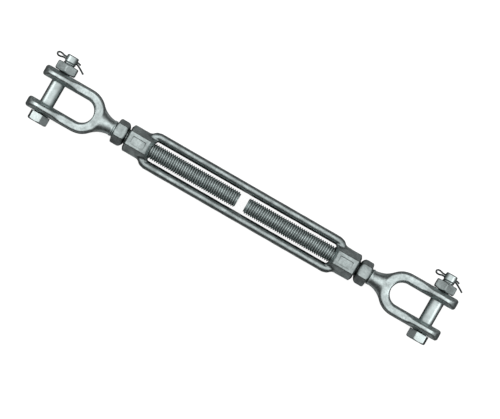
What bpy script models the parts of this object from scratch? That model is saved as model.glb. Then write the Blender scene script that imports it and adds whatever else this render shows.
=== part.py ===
"""Jaw-and-jaw rigging turnbuckle with lock nuts: a forged open body, a right-hand and a left-hand
threaded jaw, two lock nuts, and a drilled clevis bolt, hex nut and cotter pin in each jaw.

Units are metres. The origin is the middle of the body on the thread axis, +X runs along that axis
towards the left-hand end, +Y runs along the clevis bolts towards their nuts, and the reins of the
body lie in the XY plane. End "a" is the right-hand end at -X, and end "b" the left-hand end at +X.
Every solid of revolution and every hexagon is drawn along X first, then turned to its own axis.
"""

import math

import bmesh
import bpy
from mathutils import Matrix, Vector

MM = 0.001

# Threaded shank of the jaws, 1/2 in nominal
SHANK_RADIUS = 6.35 * MM
SHANK_CHAMFER = 1.0 * MM
SHANK_END_GAP = 7.8 * MM
RUNNING_GAP = 0.3 * MM
THREAD_BORE_RADIUS = SHANK_RADIUS + RUNNING_GAP

# Body
BODY_HALF_LENGTH = 108.6 * MM
WINDOW_HALF_LENGTH = 86.0 * MM
BOSS_ACROSS_FLATS = 21.0 * MM
BOSS_END_CHAMFER = 1.2 * MM
BOSS_WINDOW_CHAMFER = 3.0 * MM
REIN_CENTRE = 12.45 * MM
REIN_THICKNESS = 7.5 * MM
REIN_DEPTH = 10.0 * MM
REIN_CORNER = 2.6 * MM
REIN_ROOT_CENTRE = 8.2 * MM
REIN_ROOT_X = 98.0 * MM
FLARE_START_X = 93.8 * MM
FLARE_END_X = 84.0 * MM

# Lock nuts
LOCK_NUT_ACROSS_FLATS = 19.3 * MM
LOCK_NUT_THICKNESS = 11.1 * MM
LOCK_NUT_BODY_SIDE_CHAMFER = 1.9 * MM
LOCK_NUT_OUTER_CHAMFER = 0.9 * MM
LOCK_NUT_TURN = math.radians(-8)

# Jaws
PIN_X = 179.2 * MM
EAR_RADIUS = 15.6 * MM
EAR_INNER = 9.9 * MM
EAR_OUTER = 19.2 * MM
EAR_CHAMFER = 2.2 * MM
STRAP_HALF_WIDTH = 9.8 * MM
STRAP_INSET = 0.15 * MM
STRAP_CORNER = 2.2 * MM
LOOP_CENTRE_X = 150.0 * MM
ROOT_FILLET_RADIUS = 18.0 * MM
ROOT_FILLET_END_X = 122.0 * MM
ROOT_FILLET_DEPTH = 10.6 * MM
EAR_HOLE_RADIUS = 6.45 * MM

# Clevis bolts: a 12.2 mm body with a 7/16 in thread
BOLT_RADIUS = 6.1 * MM
BOLT_THREAD_RADIUS = 5.15 * MM
BOLT_THREAD_START_Y = 17.5 * MM
BOLT_END_Y = 35.1 * MM
BOLT_END_CHAMFER = 0.9 * MM
BOLT_HEAD_ACROSS_FLATS = 15.6 * MM
BOLT_HEAD_THICKNESS = 7.7 * MM
BOLT_HEAD_TURN = math.radians(15)
CLEVIS_NUT_ACROSS_FLATS = 17.8 * MM
CLEVIS_NUT_THICKNESS = 7.6 * MM
HEX_CHAMFER = 0.9 * MM
HEX_CORNER_TURN = math.radians(30)
CHAMFER_SLOPE = math.tan(math.radians(60))

# Cotter pins, 3/32 in nominal, of half-round wire
COTTER_Y = 31.3 * MM
COTTER_RADIUS = 1.15 * MM
COTTER_SPLIT = 0.06 * MM
COTTER_HOLE_RADIUS = COTTER_RADIUS + RUNNING_GAP
COTTER_EYE_START_X = 6.6 * MM
COTTER_EYE_END_X = 13.2 * MM
COTTER_EYE_HALF_HEIGHT = 1.55 * MM
COTTER_BEND_X = 5.6 * MM
COTTER_SHORT_LEG = (8.4 * MM, -0.75 * MM)
COTTER_LONG_LEG = (13.9 * MM, -4.6 * MM)

GALVANISED_FORGING = {"color": (0.50, 0.53, 0.53, 1), "roughness": 0.50, "metallic": 0.85}
GALVANISED_FASTENER = {"color": (0.58, 0.61, 0.61, 1), "roughness": 0.42, "metallic": 0.90}
COTTER_WIRE = {"color": (0.62, 0.63, 0.62, 1), "roughness": 0.35, "metallic": 0.95}

TO_Y_AXIS = Matrix.Rotation(math.radians(90), 4, "Z")


def clear_scene():
    for obj in list(bpy.data.objects):
        bpy.data.objects.remove(obj, do_unlink=True)


def solid(name, rings, closed_ring=False):
    """One closed body through rings of points; closed_ring joins the last ring to the first."""
    bm = bmesh.new()
    loops = [[bm.verts.new(point) for point in ring] for ring in rings]
    pairs = list(zip(loops, loops[1:]))
    if closed_ring:
        pairs.append((loops[-1], loops[0]))
    else:
        bm.faces.new(loops[0])
        bm.faces.new(loops[-1])
    for near, far in pairs:
        for i, vert in enumerate(near):
            j = (i + 1) % len(near)
            bm.faces.new((vert, near[j], far[j], far[i]))
    bmesh.ops.recalc_face_normals(bm, faces=bm.faces)
    mesh = bpy.data.meshes.new(name)
    bm.to_mesh(mesh)
    bm.free()
    obj = bpy.data.objects.new(name, mesh)
    bpy.context.collection.objects.link(obj)
    return obj


def turned(name, profile, segments, hollow=False):
    """A solid of revolution about X from (x, radius) points; a hollow profile is a closed outline."""
    rings = []
    for x, radius in profile:
        angles = [2 * math.pi * i / segments for i in range(segments)]
        rings.append([(x, radius * math.cos(a), radius * math.sin(a)) for a in angles])
    return solid(name, rings, closed_ring=hollow)


def swept(name, path, section):
    """A section of (across, z) points carried along a path of (x, y) points."""
    rings = []
    for i, point in enumerate(path):
        before = Vector(path[max(i - 1, 0)])
        after = Vector(path[min(i + 1, len(path) - 1)])
        along = (after - before).normalized()
        across = Vector((-along.y, along.x))
        rings.append([(*(Vector(point) + across * u), z) for u, z in section])
    return solid(name, rings)


def combine(target, tool, operation):
    """Applies one exact Boolean to target and removes the tool."""
    modifier = target.modifiers.new(operation.lower(), "BOOLEAN")
    modifier.operation = operation
    modifier.solver = "EXACT"
    modifier.object = tool
    graph = bpy.context.evaluated_depsgraph_get()
    result = bpy.data.meshes.new_from_object(target.evaluated_get(graph))
    target.modifiers.clear()
    old = target.data
    target.data = result
    result.name = target.name
    bpy.data.meshes.remove(old)
    bpy.data.objects.remove(tool, do_unlink=True)


def chamfered_box(half_across, half_depth, corner):
    """An oblong section with its four corners cut off."""
    a, b, c = half_across, half_depth, corner
    right = [(a - c, -b), (a, c - b), (a, b - c), (a - c, b)]
    return right + [(-u, z) for u, z in reversed(right)]


def hexagon(name, across_flats, start, end, turn, chamfers, bore=None):
    """A hexagon along X with chamfered corners at each end, and a bore where one is given."""
    corner = across_flats / math.sqrt(3)
    rings = []
    for x in (start, end):
        angles = [turn + math.pi / 3 * i for i in range(6)]
        rings.append([(x, corner * math.cos(a), corner * math.sin(a)) for a in angles])
    block = solid(name, rings)
    low, high = chamfers
    over = 1 * MM
    outer = corner + over
    low_face = corner - low * CHAMFER_SLOPE
    high_face = corner - high * CHAMFER_SLOPE
    rise = over / CHAMFER_SLOPE
    least = (bore or 0) + RUNNING_GAP
    outline = [
        (start - over, max(low_face - over * CHAMFER_SLOPE, least)),
        (start, low_face),
        (start + low + rise, outer),
        (end - high - rise, outer),
        (end, high_face),
        (end + over, max(high_face - over * CHAMFER_SLOPE, least)),
    ]
    if bore:
        outline += [(end + over, bore), (start - over, bore)]
    combine(block, turned("chamfer", outline, 36, hollow=bool(bore)), "INTERSECT")
    return block


def eased(t):
    """A smooth step from 0 to 1."""
    return 0.5 - 0.5 * math.cos(math.pi * t)


def rein_path():
    """The centre line of one rein, from inside one boss to inside the other."""
    steps = 7
    flare = []
    for i in range(steps + 1):
        t = i / steps
        x = FLARE_START_X + (FLARE_END_X - FLARE_START_X) * t
        y = REIN_ROOT_CENTRE + (REIN_CENTRE - REIN_ROOT_CENTRE) * eased(t)
        flare.append((x, y))
    half = [(REIN_ROOT_X, REIN_ROOT_CENTRE)] + flare
    return half + [(-x, y) for x, y in reversed(half)]


def make_body():
    body = None
    section = chamfered_box(REIN_THICKNESS / 2, REIN_DEPTH / 2, REIN_CORNER)
    for side in (-1, 1):
        chamfers = (BOSS_WINDOW_CHAMFER, BOSS_END_CHAMFER)[::side]
        start, end = sorted((side * WINDOW_HALF_LENGTH, side * BODY_HALF_LENGTH))
        boss = hexagon("boss", BOSS_ACROSS_FLATS, start, end, 0, chamfers)
        path = [(x, side * y) for x, y in rein_path()]
        rein = swept("rein", path, section)
        if body is None:
            body = rein
            body.name = "turnbuckle_body"
        else:
            combine(body, rein, "UNION")
        combine(body, boss, "UNION")
    reach = BODY_HALF_LENGTH + 5 * MM
    for side in (-1, 1):
        start, end = sorted((side * FLARE_END_X, side * reach))
        bore = turned("bore", [(start, THREAD_BORE_RADIUS), (end, THREAD_BORE_RADIUS)], 36)
        combine(body, bore, "DIFFERENCE")
    return body


def make_lock_nut(suffix, side):
    inner = side * (BODY_HALF_LENGTH + RUNNING_GAP)
    start, end = sorted((inner, inner + side * LOCK_NUT_THICKNESS))
    chamfers = (LOCK_NUT_BODY_SIDE_CHAMFER, LOCK_NUT_OUTER_CHAMFER)[::side]
    return hexagon(
        "lock_nut_" + suffix,
        LOCK_NUT_ACROSS_FLATS,
        start,
        end,
        LOCK_NUT_TURN,
        chamfers,
        THREAD_BORE_RADIUS,
    )


def strap_path():
    """The centre line of the jaw's U, from one pin round the loop to the other, drawn at +X."""
    centre = (EAR_OUTER + EAR_INNER) / 2
    steps = 14
    path = [(PIN_X, centre)]
    for i in range(steps + 1):
        angle = math.pi / 2 + math.pi * i / steps
        path.append((LOOP_CENTRE_X + centre * math.cos(angle), centre * math.sin(angle)))
    path.append((PIN_X, -centre))
    return path


def make_jaw(suffix, side):
    """A jaw drawn at +X, and turned half round about Z for the other end."""
    half = (EAR_OUTER - EAR_INNER) / 2 - STRAP_INSET
    jaw = swept("jaw_" + suffix, strap_path(), chamfered_box(half, STRAP_HALF_WIDTH, STRAP_CORNER))
    for ear_side in (-1, 1):
        low, high = sorted((ear_side * EAR_INNER, ear_side * EAR_OUTER))
        rim = EAR_RADIUS - EAR_CHAMFER
        outline = [
            (low, rim),
            (low + EAR_CHAMFER * 0.3, EAR_RADIUS - EAR_CHAMFER * 0.3),
            (low + EAR_CHAMFER, EAR_RADIUS),
            (high - EAR_CHAMFER, EAR_RADIUS),
            (high - EAR_CHAMFER * 0.3, EAR_RADIUS - EAR_CHAMFER * 0.3),
            (high, rim),
        ]
        ear = turned("ear", outline, 40)
        ear.data.transform(Matrix.Translation((PIN_X, 0, 0)) @ TO_Y_AXIS)
        combine(jaw, ear, "UNION")
    tip = SHANK_END_GAP / 2
    outline = [(tip, SHANK_RADIUS - SHANK_CHAMFER), (tip + SHANK_CHAMFER, SHANK_RADIUS)]
    steps = 6
    fillet_centre = SHANK_RADIUS + ROOT_FILLET_RADIUS
    for i in range(steps + 1):
        along = ROOT_FILLET_DEPTH * i / steps
        radius = fillet_centre - math.sqrt(ROOT_FILLET_RADIUS**2 - along**2)
        outline.append((ROOT_FILLET_END_X + along, radius))
    combine(jaw, turned("shank", outline, 36), "UNION")
    reach = EAR_OUTER + 5 * MM
    hole = turned("pin_hole", [(-reach, EAR_HOLE_RADIUS), (reach, EAR_HOLE_RADIUS)], 36)
    hole.data.transform(Matrix.Translation((PIN_X, 0, 0)) @ TO_Y_AXIS)
    combine(jaw, hole, "DIFFERENCE")
    if side < 0:
        jaw.rotation_euler.z = math.pi
    return jaw


def make_clevis_bolt(suffix, head_turn):
    """A bolt along Y with its head at -Y, its end drilled along X for the cotter pin."""
    seat = -(EAR_OUTER + RUNNING_GAP)
    head_end = seat - BOLT_HEAD_THICKNESS
    turn = HEX_CORNER_TURN + head_turn
    bolt = hexagon(
        "clevis_bolt_" + suffix, BOLT_HEAD_ACROSS_FLATS, head_end, seat, turn, (HEX_CHAMFER, 0.2 * MM)
    )
    step = 0.4 * MM
    outline = [
        (seat - 2 * MM, BOLT_RADIUS),
        (BOLT_THREAD_START_Y, BOLT_RADIUS),
        (BOLT_THREAD_START_Y + step, BOLT_THREAD_RADIUS),
        (BOLT_END_Y - BOLT_END_CHAMFER, BOLT_THREAD_RADIUS),
        (BOLT_END_Y, BOLT_THREAD_RADIUS - BOLT_END_CHAMFER),
    ]
    combine(bolt, turned("bolt_shank", outline, 32), "UNION")
    bolt.data.transform(TO_Y_AXIS)
    reach = BOLT_RADIUS + 3 * MM
    hole = turned("cotter_hole", [(-reach, COTTER_HOLE_RADIUS), (reach, COTTER_HOLE_RADIUS)], 16)
    hole.data.transform(Matrix.Translation((0, COTTER_Y, 0)))
    combine(bolt, hole, "DIFFERENCE")
    return bolt


def make_clevis_nut(suffix):
    start = EAR_OUTER + RUNNING_GAP
    end = start + CLEVIS_NUT_THICKNESS
    bore = BOLT_THREAD_RADIUS + RUNNING_GAP
    chamfers = (HEX_CHAMFER, HEX_CHAMFER)
    name = "clevis_nut_" + suffix
    nut = hexagon(name, CLEVIS_NUT_ACROSS_FLATS, start, end, HEX_CORNER_TURN, chamfers, bore)
    nut.data.transform(TO_Y_AXIS)
    return nut


def cotter_path():
    """The wire's centre line: short leg, hole, eye, hole again, and the long leg bent to the nut."""
    lift = COTTER_SPLIT + (COTTER_RADIUS - COTTER_SPLIT) / 2
    path = []
    short_x, short_drop = COTTER_SHORT_LEG
    steps = 3
    for i in range(steps, 0, -1):
        t = i / steps
        path.append((COTTER_BEND_X + (short_x - COTTER_BEND_X) * t, lift + short_drop * t**1.5))
    path += [(COTTER_BEND_X, lift), (-COTTER_EYE_START_X + 0.6 * MM, lift)]
    middle = -(COTTER_EYE_END_X + COTTER_EYE_START_X) / 2
    half = (COTTER_EYE_END_X - COTTER_EYE_START_X) / 2
    turns = 10
    for i in range(turns + 1):
        angle = math.radians(50) + math.radians(260) * i / turns
        path.append((middle + half * math.cos(angle), COTTER_EYE_HALF_HEIGHT * math.sin(angle)))
    path += [(-COTTER_EYE_START_X + 0.6 * MM, -lift), (COTTER_BEND_X, -lift)]
    long_x, long_drop = COTTER_LONG_LEG
    steps = 5
    for i in range(1, steps + 1):
        t = i / steps
        path.append((COTTER_BEND_X + (long_x - COTTER_BEND_X) * t, -lift + long_drop * t**1.2))
    return path


def make_cotter_pin(suffix):
    """Half-round wire, its flat side inwards, folded into an eye and two legs."""
    half = (COTTER_RADIUS - COTTER_SPLIT) / 2
    width = COTTER_RADIUS
    flat = [(half, -width), (half, width)]
    back = [(0, width * 0.9), (-half, width * 0.4), (-half, -width * 0.4), (0, -width * 0.9)]
    pin = swept("cotter_pin_" + suffix, cotter_path(), flat + back)
    pin.data.transform(Matrix.Translation((0, COTTER_Y, 0)))
    return pin


def make_material(name, finish):
    material = bpy.data.materials.new(name)
    material.use_nodes = True
    shader = material.node_tree.nodes["Principled BSDF"]
    shader.inputs["Base Color"].default_value = finish["color"]
    shader.inputs["Roughness"].default_value = finish["roughness"]
    shader.inputs["Metallic"].default_value = finish["metallic"]
    return material


def finish_piece(obj, finish):
    obj.data.materials.clear()
    obj.data.materials.append(make_material(obj.name, finish))
    obj.data.shade_smooth()
    obj.data.set_sharp_from_angle(angle=math.radians(32))


def main():
    clear_scene()
    finish_piece(make_body(), GALVANISED_FORGING)
    for suffix, side in (("a", -1), ("b", 1)):
        finish_piece(make_jaw(suffix, side), GALVANISED_FORGING)
        finish_piece(make_lock_nut(suffix, side), GALVANISED_FASTENER)
        axis = bpy.data.objects.new("clevis_axis_" + suffix, None)
        axis.location.x = side * PIN_X
        bpy.context.collection.objects.link(axis)
        clevis = [
            (make_clevis_bolt(suffix, -side * BOLT_HEAD_TURN), GALVANISED_FASTENER),
            (make_clevis_nut(suffix), GALVANISED_FASTENER),
            (make_cotter_pin(suffix), COTTER_WIRE),
        ]
        for piece, finish in clevis:
            finish_piece(piece, finish)
            piece.parent = axis


main()
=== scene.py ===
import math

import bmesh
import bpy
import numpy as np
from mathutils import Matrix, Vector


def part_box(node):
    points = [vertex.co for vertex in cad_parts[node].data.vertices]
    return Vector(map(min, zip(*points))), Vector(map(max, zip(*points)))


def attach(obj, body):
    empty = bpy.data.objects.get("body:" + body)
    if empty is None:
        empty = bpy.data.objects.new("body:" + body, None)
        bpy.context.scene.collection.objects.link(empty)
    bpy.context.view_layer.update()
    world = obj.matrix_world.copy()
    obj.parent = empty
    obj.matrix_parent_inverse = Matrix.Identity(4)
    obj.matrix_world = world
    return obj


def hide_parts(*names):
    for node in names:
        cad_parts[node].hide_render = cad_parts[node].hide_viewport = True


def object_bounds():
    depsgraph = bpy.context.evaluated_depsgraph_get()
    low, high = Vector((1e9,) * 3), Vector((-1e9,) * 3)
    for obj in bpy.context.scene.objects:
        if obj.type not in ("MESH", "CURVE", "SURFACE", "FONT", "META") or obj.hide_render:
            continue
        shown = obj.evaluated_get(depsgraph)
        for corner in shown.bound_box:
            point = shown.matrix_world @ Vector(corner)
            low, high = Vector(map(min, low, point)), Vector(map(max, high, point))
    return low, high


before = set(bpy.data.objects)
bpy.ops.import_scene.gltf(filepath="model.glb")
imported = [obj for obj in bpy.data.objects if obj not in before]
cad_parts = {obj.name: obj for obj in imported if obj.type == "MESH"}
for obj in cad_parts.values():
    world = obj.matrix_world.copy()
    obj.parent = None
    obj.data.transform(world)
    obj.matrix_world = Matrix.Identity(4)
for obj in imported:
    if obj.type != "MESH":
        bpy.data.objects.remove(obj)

# A hot-dip galvanised jaw-and-jaw rigging turnbuckle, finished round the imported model.
#
# Shapes are worked out in millimetres and written to the meshes in metres. Forged and hexagonal
# pieces are distance fields, negative inside, whose zero surface surface_net() meshes. Threads,
# shanks and wire are swept grids. Everything that turns is drawn along X first and then turned to
# its own axis. A jaw and its fittings are drawn for end b, at +X, and turned for end a.

CAD_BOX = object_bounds()
METRE = 0.001
QUARTER_TURN = Matrix.Rotation(math.radians(90), 4, "Z")
HALF_TURN = Matrix.Rotation(math.radians(180), 4, "Z")


def extent(node):
    """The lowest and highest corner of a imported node, in millimetres."""
    low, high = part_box(node)
    return low / METRE, high / METRE


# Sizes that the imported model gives
BODY_END, REIN_OUTER, BOSS_HALF_FLATS = extent("turnbuckle_body")[1]
LOCK_START = extent("lock_nut_b")[0].x
LOCK_END = extent("lock_nut_b")[1].x
SHANK_TIP = extent("jaw_b")[0].x
JAW_END, EAR_OUTER, EAR_RADIUS = extent("jaw_b")[1]
PIN_X = JAW_END - EAR_RADIUS
BOLT_LOW_Y = extent("clevis_bolt_b")[0].y
BOLT_HIGH_Y = extent("clevis_bolt_b")[1].y
NUT_LOW_Y = extent("clevis_nut_b")[0].y
NUT_HIGH_Y = extent("clevis_nut_b")[1].y
NUT_HALF_FLATS = (extent("clevis_nut_b")[1].x - extent("clevis_nut_b")[0].x) / 2

# Body: two bosses at the ends, with an open window between two reins
WINDOW_END = 86.2
WINDOW_BOW = 1.6
BORE_RADIUS = 7.2
BORE_CHAMFER = 1.0
REIN_HALF_WIDTH = 3.75
REIN_HALF_DEPTH = 5.0
REIN_DRAFT = math.radians(72)
REIN_CENTRE = REIN_OUTER - REIN_HALF_WIDTH
WINDOW_HALF_WIDTH = REIN_CENTRE - REIN_HALF_WIDTH
REIN_OUTER_ROUND = 3.1
REIN_INNER_ROUND = 2.3
REIN_ROOT_ROUND = 1.5
REIN_ROOT_CENTRE = 7.2
REIN_ROOT_END = 97.0
REIN_DIP = 1.8
REIN_DIP_START = 90.5
REIN_DIP_LENGTH = 4
FLARE_START = 94.6
FLARE_END = 84.0
FLASH_HEIGHT = 0.13
FLASH_WIDTH = 0.55
BOSS_SLANT = math.radians(57)
BOSS_SLANT_LENGTH = 2.7
BOSS_BEVEL = 1.6
BOSS_BEVEL_ANGLE = math.radians(60)

# The plain sunk panel on the top and bottom of each boss
PANEL_X = 97.8
PANEL_Y = -0.4
PANEL_HALF_LENGTH = 6.0
PANEL_HALF_WIDTH = 3.4
PANEL_DEPTH = 0.34
PANEL_TILT = 0.05

# Jaws: a strap bent round into two ears, on a neck that widens from the shank
EAR_INNER = 9.9
EAR_START = 158
EAR_BLEND = 14
EAR_DRAFT = 1.9
STRAP_CENTRE = (EAR_OUTER + EAR_INNER) / 2
STRAP_HALF_THICKNESS = (EAR_OUTER - EAR_INNER) / 2
STRAP_HALF_WIDTH = 9.8
STRAP_NARROWING = 1.5
STRAP_NARROW_X = 131
STRAP_WIDE_X = 148
STRAP_DRAFT = 0.13
LOOP_X = 151.2
NECK_START = 122.0
NECK_END = 137.1
NECK_RADIUS = 6.5
NECK_SWEEP = 20.7
NECK_DEEPENING = 1.8
NECK_DEEP_LENGTH = 12
NECK_FILLET = 1.5
NECK_FILLET_FADE_X = 129
NECK_FILLET_FADE = 7.5
PIN_HOLE_RADIUS = 6.45

# Lock nuts
LOCK_HALF_FLATS = 9.65
LOCK_TURN = math.radians(-8)
LOCK_BORE_RADIUS = BORE_RADIUS - 0.1
LOCK_BORE_CHAMFER = 0.7

# Threads: 13 turns to the inch on the shanks and 14 on the clevis bolts
INCH = 25.4
SHANK_CREST = 7.0
SHANK_ROOT = 5.9
SHANK_TIP_RADIUS = SHANK_ROOT - 0.25
SHANK_PITCH = INCH / 13
SHANK_NARROWING = 0.9
SHANK_NARROW_X = NECK_START - 0.5
SHANK_NARROW_LENGTH = 4
SHANK_RUNOUT_X = NECK_START - 3.2
SHANK_RUNOUT_LENGTH = 4.6
BOLT_CREST = 5.15
BOLT_ROOT = 4.65
BOLT_PITCH = INCH / 14
BOLT_THREAD_START = 17.5
BOLT_THREAD_END = 28.3

# Clevis bolts and their nuts
BOLT_RADIUS = 6.1
BOLT_HEAD_HALF_FLATS = 8.0
BOLT_HEAD_TURN = math.radians(15)
CORNER_UP = math.radians(30)
NUT_BORE_RADIUS = BOLT_CREST + 0.2
NUT_BORE_CHAMFER = 0.6

# Cotter pins, of half-round wire
COTTER_Y = 31.3
WIRE_RADIUS = 1.5
WIRE_SPLIT = 0.06
EYE_START = 6.6
EYE_END = 13.2
EYE_HALF_HEIGHT = 1.5
EYE_PEAR = 0.35
BEND_X = 5.6
SHORT_LEG = (8.4, -0.75)
LONG_LEG = (13.9, -4.6)
COTTER_HOLE_RADIUS = 1.62

# Spacing of the grids that the fields are meshed on, and the room left round a hexagon
BODY_GRID = 0.42
REIN_GRID = 1.2
JAW_GRID = 0.45
HEXAGON_GRID = 0.3
HEXAGON_ROOM = 0.8

# Finish and set; distances here are in metres
ZINC = (0.63, 0.715, 0.71)
SHARP_ANGLE = math.radians(38)
FLOOR_HALF = 4.0
SOFTBOX_LEAN = math.radians(54)
SOFTBOX_SIZE = (0.25, 0.18)
SOFTBOX_ASIDE = 0.02
SOFTBOX_DISTANCE = 0.3
VIEW_TILT = math.radians(29.958)
VIEW_CENTRE = (0.0066, -0.0056)
VIEW_WIDTH = 0.410


# ---- distance fields ----


def round_max(a, b, radius):
    """Where both a and b are inside, with the edge between them rounded."""
    corner = np.hypot(np.maximum(a + radius, 0), np.maximum(b + radius, 0))
    return np.minimum(np.maximum(a, b), -radius) + corner


def round_min(a, b, radius):
    """Where either a or b is inside, with a fillet between them."""
    return -round_max(-a, -b, radius)


def soft_max(a, b, width):
    """The larger of a and b, blended where they are within width of each other."""
    share = np.clip(0.5 + 0.5 * (a - b) / width, 0, 1)
    return b + (a - b) * share + width * share * (1 - share)


def soft_min(a, b, width):
    """The smaller of a and b, blended in the same way."""
    return -soft_max(-a, -b, width)


def round_box(u, v, half_u, half_v, radius):
    """A rectangle with rounded corners."""
    a = np.abs(u) - half_u + radius
    b = np.abs(v) - half_v + radius
    return np.hypot(np.maximum(a, 0), np.maximum(b, 0)) + np.minimum(np.maximum(a, b), 0) - radius


def ease(t):
    """A smooth step from 0 to 1 as t goes from 0 to 1."""
    t = np.clip(t, 0, 1)
    return t * t * (3 - 2 * t)


def hex_prism(u, v, half_flats, turn, width):
    """A hexagon whose first corner is at the angle turn from +u, its corners softened."""
    field = None
    for i in range(3):
        angle = turn + math.radians(30 + 60 * i)
        side = np.abs(u * math.cos(angle) + v * math.sin(angle)) - half_flats
        field = side if field is None else soft_max(field, side, width)
    return field


def chamfer(x, radius, face, half_flats, depth, sign):
    """The 30-degree cone that cuts a hexagon's corners back by depth at its face, towards sign."""
    corner = half_flats / math.cos(math.radians(30))
    slope = math.tan(math.radians(60))
    return (radius - (corner - depth * slope) + slope * sign * (x - face)) / math.hypot(1, slope)


# ---- meshes ----


def spaced(*stops):
    """Grid lines through (start, step, start, step, ..., end)."""
    lines = []
    for i in range(0, len(stops) - 1, 2):
        start, step, end = stops[i : i + 3]
        count = max(1, round((end - start) / step))
        lines.append(np.linspace(start, end, count, endpoint=False))
    return np.concatenate(lines + [[stops[-1]]])


def hexagon_axes(low, high, half_flats):
    """Grid lines round a hexagon that lies along X from low to high."""
    half = half_flats * 1.16 + HEXAGON_ROOM
    lines = spaced(-half, HEXAGON_GRID, half)
    return spaced(low - HEXAGON_ROOM, HEXAGON_GRID, high + HEXAGON_ROOM), lines, lines


def surface_net(name, field, axes):
    """The zero surface of a field on a grid, one point to each cell that it crosses."""
    x, y, z = np.meshgrid(*axes, indexing="ij")
    values = field(x, y, z)
    inside = values < 0
    cells = tuple(n - 1 for n in values.shape)
    total = np.zeros(cells + (3,))
    count = np.zeros(cells)
    crossings = []
    for axis in range(3):
        low = [slice(None)] * 3
        high = [slice(None)] * 3
        low[axis] = slice(0, -1)
        high[axis] = slice(1, None)
        low, high = tuple(low), tuple(high)
        where = np.argwhere(inside[low] != inside[high])
        ahead = where.copy()
        ahead[:, axis] += 1
        start, end = values[tuple(where.T)], values[tuple(ahead.T)]
        share = (start / (start - end))[:, None]
        near = np.stack([axes[k][where[:, k]] for k in range(3)], 1)
        far = np.stack([axes[k][ahead[:, k]] for k in range(3)], 1)
        points = near + (far - near) * share
        others = [k for k in range(3) if k != axis]
        around = []
        for a, b in ((-1, -1), (0, -1), (0, 0), (-1, 0)):
            cell = where.copy()
            cell[:, others[0]] += a
            cell[:, others[1]] += b
            around.append(cell)
        for cell in around:
            np.add.at(total, tuple(cell.T), points)
            np.add.at(count, tuple(cell.T), 1)
        crossings.append((around, start < 0, axis))
    used = count > 0
    number = np.full(cells, -1)
    number[used] = np.arange(used.sum())
    points = settle(total[used] / count[used][:, None], field)
    faces = []
    for around, starts_inside, axis in crossings:
        quads = np.stack([number[tuple(cell.T)] for cell in around], 1)
        flip = starts_inside if axis == 1 else ~starts_inside
        quads[flip] = quads[flip][:, ::-1]
        faces.append(quads)
    return mesh_object(name, points, np.concatenate(faces))


def settle(points, field, rounds=4, reach=0.25, probe=0.01):
    """Moves points along the field's slope on to its zero surface."""
    for _ in range(rounds):
        value = field(*points.T)
        slope = np.zeros_like(points)
        for k in range(3):
            step = np.zeros(3)
            step[k] = probe
            slope[:, k] = (field(*(points + step).T) - field(*(points - step).T)) / (2 * probe)
        steep = np.maximum((slope**2).sum(1), 0.2)
        move = -slope * (value / steep)[:, None]
        points = points + np.clip(move, -reach, reach)
    return points


def mesh_object(name, points, faces):
    """An object from points in millimetres and four-sided faces."""
    mesh = bpy.data.meshes.new(name)
    mesh.vertices.add(len(points))
    mesh.vertices.foreach_set("co", (np.asarray(points) * METRE).astype(np.float32).ravel())
    mesh.loops.add(faces.size)
    mesh.loops.foreach_set("vertex_index", faces.astype(np.int32).ravel())
    mesh.polygons.add(len(faces))
    mesh.polygons.foreach_set("loop_start", np.arange(0, faces.size, 4, dtype=np.int32))
    mesh.update(calc_edges=True)
    mesh.validate()
    obj = bpy.data.objects.new(name, mesh)
    bpy.context.scene.collection.objects.link(obj)
    return obj


def tidy_mesh(obj):
    """Welds doubled points, drops faces of no area, closes open ends and turns faces outwards."""
    bm = bmesh.new()
    bm.from_mesh(obj.data)
    bmesh.ops.remove_doubles(bm, verts=bm.verts, dist=0.0005 * METRE)
    bmesh.ops.dissolve_degenerate(bm, edges=bm.edges, dist=0.0005 * METRE)
    loose = [v for v in bm.verts if not v.link_faces]
    bmesh.ops.delete(bm, geom=loose, context="VERTS")
    open_edges = [e for e in bm.edges if e.is_boundary]
    bmesh.ops.holes_fill(bm, edges=open_edges, sides=0)
    bmesh.ops.recalc_face_normals(bm, faces=bm.faces)
    bm.to_mesh(obj.data)
    bm.free()
    return obj


def combine(target, tool, operation):
    """Applies one exact Boolean to target and removes the tool."""
    modifier = target.modifiers.new(operation.lower(), "BOOLEAN")
    modifier.operation = operation
    modifier.solver = "EXACT"
    modifier.object = tool
    graph = bpy.context.evaluated_depsgraph_get()
    result = bpy.data.meshes.new_from_object(target.evaluated_get(graph))
    target.modifiers.clear()
    old = target.data
    target.data = result
    result.name = target.name
    bpy.data.meshes.remove(old)
    bpy.data.objects.remove(tool, do_unlink=True)
    return target


def threaded_rod(name, start, end, pitch, hand, radius_at, depth_at, columns):
    """A rod along X whose radius and thread depth vary along it; hand is 1 for right-hand.

    The grid is sheared to follow the helix, so each row of points runs along a crest or a root."""
    root = [(-0.11, 0), (0.0, 0), (0.11, 0)]
    crest = [(0.4, 1), (0.5, 1), (0.6, 1)]
    shape = root + [(0.25, 0.5)] + crest + [(0.75, 0.5)]
    per_turn = len(shape)
    turns = int(math.ceil((end - start) / pitch)) + 4
    across = np.array([u for u, _ in shape])
    height = np.tile([h for _, h in shape], turns)
    rows = (np.arange(turns)[:, None] + across[None, :]).ravel() * pitch + start - 2 * pitch
    angle = 2 * math.pi * np.arange(columns) / columns
    x = rows[:, None] + hand * pitch * angle[None, :] / (2 * math.pi)
    x = np.clip(x, start, end)
    radius = radius_at(x) - depth_at(x) * (1 - height[:, None])
    points = np.stack([x, radius * np.cos(angle), radius * np.sin(angle)], 2).reshape(-1, 3)
    faces = []
    row = np.arange(turns * per_turn - 1)
    for j in range(columns):
        wraps = j == columns - 1
        other = 0 if wraps else j + 1
        shift = hand * per_turn if wraps else 0
        keep = (row + shift >= 0) & (row + 1 + shift < turns * per_turn)
        r = row[keep]
        quad = [r * columns + j, (r + 1) * columns + j]
        quad += [(r + 1 + shift) * columns + other, (r + shift) * columns + other]
        faces.append(np.stack(quad, 1))
    return tidy_mesh(mesh_object(name, points, np.concatenate(faces)))


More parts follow.
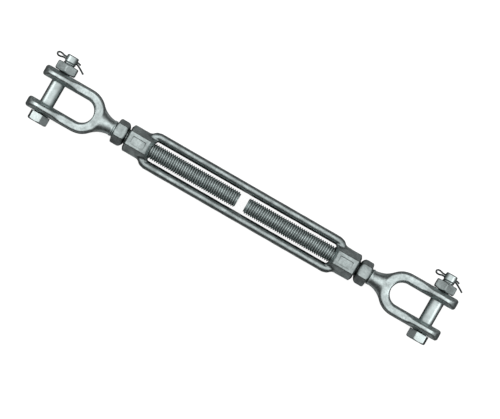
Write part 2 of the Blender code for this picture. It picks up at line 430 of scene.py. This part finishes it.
def rod(name, start, end, radius, columns):
    """A plain round rod along X, for cutting."""
    return threaded_rod(name, start, end, end - start, 1, lambda x: radius, lambda x: 0, columns)


def swept(name, path, section):
    """A closed section of (across, z) points carried along a path of (x, y) points."""
    path = np.array(path, float)
    along = np.gradient(path, axis=0)
    along /= np.linalg.norm(along, axis=1)[:, None]
    across = np.stack([-along[:, 1], along[:, 0]], 1)
    section = np.array(section, float)
    flat = path[:, None, :] + across[:, None, :] * section[None, :, 0, None]
    height = np.broadcast_to(section[None, :, 1, None], flat.shape[:2] + (1,))
    points = np.concatenate([flat, height], 2).reshape(-1, 3)
    count = len(section)
    i, j = np.meshgrid(np.arange(len(path) - 1), np.arange(count), indexing="ij")
    ahead = (j + 1) % count
    corners = [i * count + j, i * count + ahead, (i + 1) * count + ahead, (i + 1) * count + j]
    return tidy_mesh(mesh_object(name, points, np.stack(corners, 2).reshape(-1, 4)))


# ---- body ----


def forging_swell(x, y, z):
    """The slight unevenness of a dipped forging."""
    return 0.035 * (
        np.sin(0.47 * x + 0.9 * y + 0.3) * np.sin(0.61 * z + 0.2 * x + 1.1)
        + 0.7 * np.sin(0.83 * y - 0.71 * z + 0.29 * x)
    )


def rein_field(along, out, z):
    """Both reins: drafted towards the window, with a flash line, turning in to their bosses."""
    height = np.abs(z)
    turn_in = ease((along - FLARE_END) / (FLARE_START - FLARE_END))
    centre = REIN_CENTRE + (REIN_ROOT_CENTRE - REIN_CENTRE) * turn_in
    slope = (REIN_CENTRE - REIN_ROOT_CENTRE) / (FLARE_START - FLARE_END)
    lean = 6 * slope * turn_in * (1 - turn_in)
    across = (out - centre) / np.hypot(1, lean)
    inner = height * math.cos(REIN_DRAFT) - (across + REIN_HALF_WIDTH) * math.sin(REIN_DRAFT)
    dip = REIN_DIP * ease((along - REIN_DIP_START) / REIN_DIP_LENGTH)
    top = height - REIN_HALF_DEPTH + dip
    inner_round = REIN_INNER_ROUND + (REIN_ROOT_ROUND - REIN_INNER_ROUND) * turn_in
    rein = round_max(top, across - REIN_HALF_WIDTH, REIN_OUTER_ROUND)
    rein = round_max(rein, inner, inner_round)
    flash = FLASH_HEIGHT * np.exp(-((z / FLASH_WIDTH) ** 2))
    return round_max(rein - flash, along - REIN_ROOT_END, 1.0)


def boss_field(along, y, z):
    """Both bosses: hexagonal, bevelled outside, bowed and slanted at the window's ends."""
    boss = hex_prism(y, z, BOSS_HALF_FLATS, 0, 0.6)
    bevel = boss * math.cos(BOSS_BEVEL_ANGLE)
    bevel = bevel + (along - BODY_END + BOSS_BEVEL) * math.sin(BOSS_BEVEL_ANGLE)
    boss = round_max(round_max(boss, along - BODY_END, 0.5), bevel, 0.5)
    bow = WINDOW_BOW * (y / WINDOW_HALF_WIDTH) ** 2
    boss = round_max(boss, WINDOW_END - bow - along, 0.8)
    slant = (np.abs(z) - BOSS_HALF_FLATS) * math.cos(BOSS_SLANT)
    slant = slant + (WINDOW_END + BOSS_SLANT_LENGTH - along) * math.sin(BOSS_SLANT)
    return round_max(boss, slant, 0.7)


def body_field(x, y, z):
    along = np.abs(x)
    solid = round_min(boss_field(along, y, z), rein_field(along, np.abs(y), z), 1.3)
    solid = solid + forging_swell(x, y, z)
    panel = round_box(along - PANEL_X, y - PANEL_Y, PANEL_HALF_LENGTH, PANEL_HALF_WIDTH, 0.8)
    for face in (1, -1):
        bottom = BOSS_HALF_FLATS - PANEL_DEPTH - PANEL_TILT * y - face * z
        solid = soft_max(solid, -soft_max(panel, bottom, 0.2), 0.25)
    countersink = np.clip(along - (BODY_END - BORE_CHAMFER), 0, 2)
    return np.maximum(solid, BORE_RADIUS + countersink - np.hypot(y, z))


def make_body():
    """The whole body, on a grid that is fine at the bosses and coarse along the reins."""
    axes = (
        spaced(-109.4, BODY_GRID, -80, REIN_GRID, 80, BODY_GRID, 109.4),
        spaced(-17.0, BODY_GRID, 17.0),
        spaced(-11.3, BODY_GRID, 11.3),
    )
    return surface_net("body", body_field, axes)


# ---- jaws ----


def fork_field(x, y, z):
    """The bent strap with its two ears, drafted away from the flash line."""
    height = np.abs(z)
    at_ear = ease((x - EAR_START) / EAR_BLEND)
    strap_draft = STRAP_DRAFT * soft_max(height - 2.0, 0.0, 2.0)
    ear_draft = EAR_DRAFT * ease((height - 6.0) / 6.0)
    draft = strap_draft * (1 - at_ear) + ear_draft * at_ear
    thick = np.where(x > LOOP_X, np.abs(y), np.hypot(x - LOOP_X, y)) - STRAP_CENTRE
    thick = np.abs(thick) - STRAP_HALF_THICKNESS + draft
    disc = np.hypot(x - PIN_X, z) - EAR_RADIUS
    widening = ease((x - STRAP_NARROW_X) / (STRAP_WIDE_X - STRAP_NARROW_X))
    half_width = STRAP_HALF_WIDTH - STRAP_NARROWING * (1 - widening)
    side = soft_min(disc, np.maximum(height - half_width, x - PIN_X), 5.0)
    return round_max(thick, side, 1.8 + 0.5 * at_ear)


def neck_field(x, y, z):
    """The neck, round at the shank and swept out on an arc to meet the strap."""
    sweep = np.clip(x - NECK_START, 0, NECK_END - NECK_START)
    drop = np.sqrt(NECK_SWEEP**2 - sweep**2)
    half_y = NECK_RADIUS + NECK_SWEEP - drop
    half_z = NECK_RADIUS + NECK_DEEPENING * ease((x - NECK_START) / NECK_DEEP_LENGTH)
    neck = (np.hypot(y / half_y, z / half_z) - 1) * half_z * drop / NECK_SWEEP
    neck = round_max(neck, NECK_START - x, 0.4)
    return np.maximum(neck, x - NECK_END)


def jaw_field(x, y, z):
    """Fork and neck; their fillet fades out where the neck runs straight on into the loop."""
    fillet = 0.1 + NECK_FILLET * (1 - ease((x - NECK_FILLET_FADE_X) / NECK_FILLET_FADE))
    solid = soft_min(fork_field(x, y, z), neck_field(x, y, z), fillet) + forging_swell(x, y, z)
    hole = PIN_HOLE_RADIUS - np.hypot(x - PIN_X, z)
    return round_max(solid, hole, 0.5)


def shank_radius(x):
    """The crests: tapered at the tip, and thinner inside the neck."""
    tip = SHANK_TIP_RADIUS + (x - SHANK_TIP)
    narrowing = SHANK_NARROWING * ease((x - SHANK_NARROW_X) / SHANK_NARROW_LENGTH)
    return np.minimum(SHANK_CREST - narrowing, tip)


def shank_depth(x):
    """The thread's depth: none at the tip, and running out towards the neck."""
    left = 1 - ease((x - SHANK_RUNOUT_X) / SHANK_RUNOUT_LENGTH)
    full = (SHANK_CREST - SHANK_ROOT) * left
    return np.minimum(full, np.maximum(shank_radius(x) - SHANK_TIP_RADIUS, 0))


def make_jaw(suffix, hand):
    axes = (
        spaced(121.5, JAW_GRID, 196.2),
        spaced(-20.4, JAW_GRID, 20.4),
        spaced(-16.5, JAW_GRID, 16.5),
    )
    jaw = surface_net("jaw_" + suffix, jaw_field, axes)
    shank = threaded_rod(
        "shank", SHANK_TIP, NECK_START + 4, SHANK_PITCH, hand, shank_radius, shank_depth, 64
    )
    return combine(jaw, shank, "UNION")


# ---- hexagons ----


def lock_nut_field(x, y, z):
    radius = np.hypot(y, z)
    nut = hex_prism(y, z, LOCK_HALF_FLATS, LOCK_TURN, 0.6)
    nut = round_max(nut, x - LOCK_END, 0.5)
    nut = soft_max(nut, chamfer(x, radius, LOCK_END, LOCK_HALF_FLATS, 1.0, 1), 0.9)
    nut = soft_max(nut, chamfer(x, radius, LOCK_START, LOCK_HALF_FLATS, 2.45, -1), 1.8)
    nut = round_max(nut, LOCK_START - x, 0.5)
    countersink = np.clip(x - (LOCK_END - LOCK_BORE_CHAMFER), 0, 1)
    return np.maximum(nut, LOCK_BORE_RADIUS + countersink - radius)


def make_lock_nut(suffix, side):
    axes = hexagon_axes(LOCK_START, LOCK_END, LOCK_HALF_FLATS)
    if side < 0:
        axes = (-axes[0][::-1],) + axes[1:]
    return surface_net("lock_nut_" + suffix, lambda x, y, z: lock_nut_field(side * x, y, z), axes)


def clevis_nut_field(x, y, z):
    radius = np.hypot(y, z)
    nut = hex_prism(y, z, NUT_HALF_FLATS, CORNER_UP, 0.7)
    nut = round_max(nut, x - NUT_HIGH_Y, 0.4)
    nut = round_max(nut, NUT_LOW_Y - x, 0.4)
    nut = soft_max(nut, chamfer(x, radius, NUT_HIGH_Y, NUT_HALF_FLATS, 1.0, 1), 0.5)
    nut = soft_max(nut, chamfer(x, radius, NUT_LOW_Y, NUT_HALF_FLATS, 1.3, -1), 0.4)
    countersink = np.clip(x - (NUT_HIGH_Y - NUT_BORE_CHAMFER), 0, 1)
    countersink = countersink + np.clip(NUT_LOW_Y + NUT_BORE_CHAMFER - x, 0, 1)
    return np.maximum(nut, NUT_BORE_RADIUS + countersink - radius)


def make_clevis_nut(suffix):
    axes = hexagon_axes(NUT_LOW_Y, NUT_HIGH_Y, NUT_HALF_FLATS)
    nut = surface_net("clevis_nut_" + suffix, clevis_nut_field, axes)
    nut.data.transform(QUARTER_TURN)
    return nut


def make_bolt_head(turn):
    """The head and a stub of the shank, along X, with the corner turned from straight up."""
    seat = -NUT_LOW_Y

    def field(x, y, z):
        radius = np.hypot(y, z)
        head = hex_prism(y, z, BOLT_HEAD_HALF_FLATS, CORNER_UP + turn, 0.45)
        head = round_max(head, BOLT_LOW_Y - x, 0.4)
        head = round_max(head, x - seat, 0.35)
        head = soft_max(head, chamfer(x, radius, BOLT_LOW_Y, BOLT_HEAD_HALF_FLATS, 0.95, -1), 0.5)
        stub = np.maximum(radius - BOLT_RADIUS, x - (seat + 2.0))
        stub = np.maximum(stub, seat - 2.0 - x)
        return round_min(head, stub, 0.3)

    return surface_net("head", field, hexagon_axes(BOLT_LOW_Y, seat + 2.0, BOLT_HEAD_HALF_FLATS))


def bolt_radius(x):
    """The plain shank, stepped down to the thread's crests and pointed at the end."""
    step = BOLT_RADIUS + (BOLT_CREST - BOLT_RADIUS) * ease((x - BOLT_THREAD_START) / 0.4)
    return np.minimum(step, BOLT_ROOT - 0.3 + 1.1 * (BOLT_HIGH_Y - x))


def bolt_depth(x):
    run_in = ease((x - BOLT_THREAD_START) / BOLT_PITCH)
    run_out = 1 - ease((x - BOLT_THREAD_END) / BOLT_PITCH)
    return (BOLT_CREST - BOLT_ROOT) * run_in * run_out


def make_clevis_bolt(suffix, head_turn):
    """A bolt along Y, its head below and its end drilled along X for the cotter pin."""
    name = "clevis_bolt_" + suffix
    start = -NUT_LOW_Y - 1.0
    bolt = threaded_rod(name, start, BOLT_HIGH_Y, BOLT_PITCH, 1, bolt_radius, bolt_depth, 56)
    combine(bolt, make_bolt_head(head_turn), "UNION")
    bolt.data.transform(QUARTER_TURN)
    hole = rod("hole", -BOLT_RADIUS - 2, BOLT_RADIUS + 2, COTTER_HOLE_RADIUS, 40)
    hole.data.transform(Matrix.Translation((0, COTTER_Y * METRE, 0)))
    return combine(bolt, hole, "DIFFERENCE")


# ---- cotter pins ----


def cotter_path():
    """The wire's centre line: short leg, hole, eye, hole again, and the long leg bent to the nut."""
    lift = WIRE_SPLIT + (WIRE_RADIUS - WIRE_SPLIT) / 2
    hole_start = -EYE_START + 0.9
    path = []
    for t in np.linspace(1, 0.08, 10):
        path.append((BEND_X + (SHORT_LEG[0] - BEND_X) * t, lift + SHORT_LEG[1] * t**1.5))
    path += [(x, lift) for x in np.linspace(BEND_X, hole_start, 14)]
    middle = -(EYE_END + EYE_START) / 2
    half = (EYE_END - EYE_START) / 2
    for angle in np.radians(np.linspace(48, 312, 34)):
        bulge = 1 - EYE_PEAR * math.cos(angle)
        path.append((middle + half * math.cos(angle), EYE_HALF_HEIGHT * bulge * math.sin(angle)))
    path += [(x, -lift) for x in np.linspace(hole_start, BEND_X, 14)]
    for t in np.linspace(0.06, 1, 16):
        path.append((BEND_X + (LONG_LEG[0] - BEND_X) * t, -lift + LONG_LEG[1] * t**1.2))
    return path


def make_cotter_pin(suffix):
    """Half-round wire, its flat side inwards, folded into an eye and two legs."""
    half = (WIRE_RADIUS - WIRE_SPLIT) / 2
    section = []
    for angle in np.radians(np.linspace(0, 180, 13)):
        section.append((half - 2 * half * math.sin(angle), WIRE_RADIUS * math.cos(angle)))
    section[0] = (half - 0.12, WIRE_RADIUS)
    section[-1] = (half - 0.12, -WIRE_RADIUS)
    section += [(half, -WIRE_RADIUS + 0.15), (half, WIRE_RADIUS - 0.15)]
    pin = swept("cotter_pin_" + suffix, cotter_path(), section)
    pin.data.transform(Matrix.Translation((0, COTTER_Y * METRE, 0)))
    return pin


# ---- materials ----


def node(tree, kind, **settings):
    made = tree.nodes.new(kind)
    for key, value in settings.items():
        setattr(made, key, value)
    return made


def blend_value(tree, source, low, high, to_low, to_high):
    """Carries source from the range low to high over to the range to_low to to_high."""
    made = node(tree, "ShaderNodeMapRange")
    tree.links.new(source, made.inputs["Value"])
    made.inputs["From Min"].default_value = low
    made.inputs["From Max"].default_value = high
    made.inputs["To Min"].default_value = to_low
    made.inputs["To Max"].default_value = to_high
    return made.outputs["Result"]


def times(tree, a, b):
    made = node(tree, "ShaderNodeMath", operation="MULTIPLY")
    tree.links.new(a, made.inputs[0])
    tree.links.new(b, made.inputs[1])
    return made.outputs["Value"]


def galvanised(name, brightness, roughness, mottle, hollow_dust_and_shade, shaded=-0.1, reach=3):
    """Hot-dip zinc: cloudy blotches, faint crystals, a fine grain, worn edges, and hollows darkened
    with dust and painted shade.

    Hollows within reach, in millimetres, carry painted shade, darkest where their openness falls to
    shaded."""
    material = bpy.data.materials.new(name)
    material.use_nodes = True
    tree = material.node_tree
    shader = tree.nodes["Principled BSDF"]
    place = node(tree, "ShaderNodeTexCoord").outputs["Object"]

    def noise(size, detail, rough=0.55):
        made = node(tree, "ShaderNodeTexNoise")
        made.inputs["Scale"].default_value = 1 / (size * METRE)
        made.inputs["Detail"].default_value = detail
        made.inputs["Roughness"].default_value = rough
        tree.links.new(place, made.inputs["Vector"])
        return made.outputs["Fac"]

    clouds = noise(7, 4)
    specks = noise(1.6, 3, 0.6)
    grain = noise(0.45, 2)
    lumps = noise(3.2, 2)
    crystals = node(tree, "ShaderNodeTexVoronoi", feature="F1")
    crystals.inputs["Scale"].default_value = 1 / (2.6 * METRE)
    tree.links.new(place, crystals.inputs["Vector"])
    facet = node(tree, "ShaderNodeSeparateColor")
    tree.links.new(crystals.outputs["Color"], facet.inputs["Color"])
    shape = node(tree, "ShaderNodeNewGeometry").outputs["Pointiness"]

    tone = blend_value(tree, clouds, 0.3, 0.7, 1 - mottle, 1 + mottle)
    tone = times(tree, tone, blend_value(tree, specks, 0.3, 0.7, 1 - mottle, 1 + mottle * 0.6))
    tone = times(tree, tone, blend_value(tree, facet.outputs["Red"], 0, 1, 0.97, 1.03))
    # Dust and painted shade: concave places, found by pointiness, darken to the given factor.
    tone = times(tree, tone, blend_value(tree, shape, 0.44, 0.5, hollow_dust_and_shade, 1.0))
    tone = times(tree, tone, blend_value(tree, shape, 0.5, 0.56, 1.0, 1.12))
    # Painted shade: the colour darkens in hollows within reach, by ambient occlusion.
    painted_hollow_shade = node(tree, "ShaderNodeAmbientOcclusion", samples=12)
    painted_hollow_shade.inputs["Distance"].default_value = reach * METRE
    tone = times(tree, tone, blend_value(tree, painted_hollow_shade.outputs["AO"], shaded, 0.9, 0.2, 1.0))
    colour = node(tree, "ShaderNodeVectorMath", operation="SCALE")
    colour.inputs[0].default_value = [c * brightness for c in ZINC]
    tree.links.new(tone, colour.inputs["Scale"])
    tree.links.new(colour.outputs["Vector"], shader.inputs["Base Color"])

    gloss = blend_value(tree, clouds, 0.3, 0.7, roughness + 0.05, roughness - 0.05)
    gloss = times(tree, gloss, blend_value(tree, specks, 0.3, 0.7, 0.94, 1.08))
    tree.links.new(gloss, shader.inputs["Roughness"])
    shader.inputs["Metallic"].default_value = 1.0

    bump = None
    for source, strength, depth in ((lumps, 0.35, 0.12), (specks, 0.3, 0.05), (grain, 0.35, 0.02)):
        made = node(tree, "ShaderNodeBump")
        made.inputs["Strength"].default_value = strength
        made.inputs["Distance"].default_value = depth * METRE
        tree.links.new(source, made.inputs["Height"])
        if bump:
            tree.links.new(bump, made.inputs["Normal"])
        bump = made.outputs["Normal"]
    tree.links.new(bump, shader.inputs["Normal"])
    return material


def place_piece(obj, body, replaced, material):
    obj.data.materials.clear()
    obj.data.materials.append(material)
    obj.data.shade_smooth()
    obj.data.set_sharp_from_angle(angle=SHARP_ANGLE)
    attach(obj, body)
    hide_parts(replaced)


def coat_thread(jaw, material):
    """Gives the threaded shank its own rougher zinc."""
    jaw.data.materials.append(material)
    for face in jaw.data.polygons:
        if abs(face.center.x) < (NECK_START + 0.5) * METRE:
            face.material_index = 1


# ---- set ----


def make_floor():
    low = CAD_BOX[0].z
    half = FLOOR_HALF
    mesh = bpy.data.meshes.new("floor")
    corners = [(-half, -half, low), (half, -half, low), (half, half, low), (-half, half, low)]
    mesh.from_pydata(corners, [], [(0, 1, 2, 3)])
    floor = bpy.data.objects.new("floor", mesh)
    bpy.context.scene.collection.objects.link(floor)
    material = bpy.data.materials.new("white_table")
    material.use_nodes = True
    shader = material.node_tree.nodes["Principled BSDF"]
    shader.inputs["Base Color"].default_value = (0.5, 0.5, 0.5, 1)
    shader.inputs["Roughness"].default_value = 0.9
    shader.inputs["Specular IOR Level"].default_value = 0.0
    shader.inputs["Emission Color"].default_value = (1, 1, 1, 1)
    shader.inputs["Emission Strength"].default_value = 0.88
    mesh.materials.append(material)
    floor.visible_glossy = False


def make_world():
    """A studio: a bright panel overhead, longer along X, dark walls and a dim floor."""
    world = bpy.data.worlds.new("studio")
    bpy.context.scene.world = world
    world.use_nodes = True
    tree = world.node_tree
    background = tree.nodes["Background"]
    direction = node(tree, "ShaderNodeTexCoord").outputs["Generated"]
    parts = node(tree, "ShaderNodeSeparateXYZ")
    tree.links.new(direction, parts.inputs[0])
    upward = parts.outputs["Z"]

    offset = node(tree, "ShaderNodeMath", operation="SUBTRACT")
    offset.inputs[1].default_value = 0.15
    tree.links.new(parts.outputs["Y"], offset.inputs[0])
    aside = times(tree, offset.outputs[0], offset.outputs[0])
    endways = times(tree, parts.outputs["X"], parts.outputs["X"])
    panel = blend_value(tree, aside, 0.0, 0.5, 1.22, 0.0)
    panel = times(tree, panel, blend_value(tree, upward, -0.35, 0.9, 0.0, 1.0))
    panel = times(tree, panel, blend_value(tree, endways, 0.6, 0.95, 1.0, 0.55))
    below = blend_value(tree, upward, -0.6, 0.0, 0.38, 0.04)
    below = times(tree, below, blend_value(tree, upward, -0.85, -0.6, 0.12, 1.0))
    below = times(tree, below, blend_value(tree, endways, 0.0, 0.6, 1.0, 0.08))
    light = node(tree, "ShaderNodeMath", operation="ADD")
    tree.links.new(panel, light.inputs[0])
    tree.links.new(below, light.inputs[1])
    tree.links.new(light.outputs[0], background.inputs["Strength"])
    background.inputs["Color"].default_value = (1, 1, 1, 1)

    plain = node(tree, "ShaderNodeBackground")
    plain.inputs["Color"].default_value = (0.95, 0.96, 0.96, 1)
    seen = node(tree, "ShaderNodeLightPath")
    mix = node(tree, "ShaderNodeMixShader")
    tree.links.new(seen.outputs["Is Camera Ray"], mix.inputs["Fac"])
    tree.links.new(background.outputs[0], mix.inputs[1])
    tree.links.new(plain.outputs[0], mix.inputs[2])
    tree.links.new(mix.outputs[0], tree.nodes["World Output"].inputs["Surface"])


def make_softbox(name, side, pieces):
    """A soft light beyond one end, flagged off from everything but that end's jaw and fittings."""
    light = bpy.data.lights.new(name, "AREA")
    light.shape = "RECTANGLE"
    light.size, light.size_y = SOFTBOX_SIZE
    light.energy = 0.20
    obj = bpy.data.objects.new(name, light)
    aim = Vector((-side * math.sin(SOFTBOX_LEAN), 0, -math.cos(SOFTBOX_LEAN)))
    obj.location = Vector((side * PIN_X * METRE, SOFTBOX_ASIDE, 0)) - aim * SOFTBOX_DISTANCE
    obj.rotation_euler = aim.to_track_quat("-Z", "Y").to_euler()
    obj.visible_camera = False
    bpy.context.scene.collection.objects.link(obj)
    lit = bpy.data.collections.new(name + "_lit")
    for piece in pieces:
        lit.objects.link(piece)
    obj.light_linking.receiver_collection = lit


def make_camera():
    """Straight down, from far enough to be nearly parallel, with the long axis at 30 degrees."""
    camera = bpy.data.cameras.new("camera")
    camera.lens = 200
    camera.sensor_width = 36
    camera.clip_end = 20
    obj = bpy.data.objects.new("camera", camera)
    right = Vector((math.cos(VIEW_TILT), math.sin(VIEW_TILT), 0))
    up = Vector((-math.sin(VIEW_TILT), math.cos(VIEW_TILT), 0))
    height = camera.lens / camera.sensor_width * VIEW_WIDTH
    obj.location = right * VIEW_CENTRE[0] + up * VIEW_CENTRE[1] + Vector((0, 0, height))
    obj.rotation_euler = (0, 0, VIEW_TILT)
    bpy.context.scene.collection.objects.link(obj)
    bpy.context.scene.camera = obj


# ---- assembly ----

forging_zinc = galvanised("zinc_forging", 0.97, 0.37, 0.24, 0.5)
body_zinc = galvanised("zinc_body", 0.72, 0.38, 0.24, 0.45, 0.45, 9)
lock_nut_zinc = galvanised("zinc_lock_nut", 0.66, 0.4, 0.24, 0.5, 0.4, 7)
bolt_zinc = galvanised("zinc_bolt", 0.9, 0.34, 0.13, 0.5)
clevis_nut_zinc = galvanised("zinc_clevis_nut", 0.79, 0.5, 0.22, 0.5)
thread_zinc = galvanised("zinc_thread", 1.14, 0.5, 0.18, 0.28, 0.0)
wire_zinc = galvanised("zinc_wire", 0.2, 0.4, 0.08, 0.6)

place_piece(make_body(), "turnbuckle_body", "turnbuckle_body", body_zinc)
for suffix, side in (("a", -1), ("b", 1)):
    jaw = make_jaw(suffix, -side)
    lock_nut = make_lock_nut(suffix, side)
    if side < 0:
        jaw.data.transform(HALF_TURN)
    bolt = make_clevis_bolt(suffix, -side * BOLT_HEAD_TURN)
    nut = make_clevis_nut(suffix)
    pin = make_cotter_pin(suffix)
    for piece in (bolt, nut, pin):
        piece.data.transform(Matrix.Translation((side * PIN_X * METRE, 0, 0)))
    place_piece(jaw, "jaw_" + suffix, "jaw_" + suffix, forging_zinc)
    coat_thread(jaw, thread_zinc)
    place_piece(lock_nut, "lock_nut_" + suffix, "lock_nut_" + suffix, lock_nut_zinc)
    place_piece(bolt, "clevis_bolt_" + suffix, "clevis_bolt_" + suffix, bolt_zinc)
    place_piece(nut, "clevis_nut_" + suffix, "clevis_nut_" + suffix, clevis_nut_zinc)
    place_piece(pin, "clevis_bolt_" + suffix, "cotter_pin_" + suffix, wire_zinc)
    make_softbox("softbox_" + suffix, side, (jaw, bolt, pin))

make_floor()
make_world()
make_camera()
bpy.context.scene.view_settings.view_transform = "Standard"
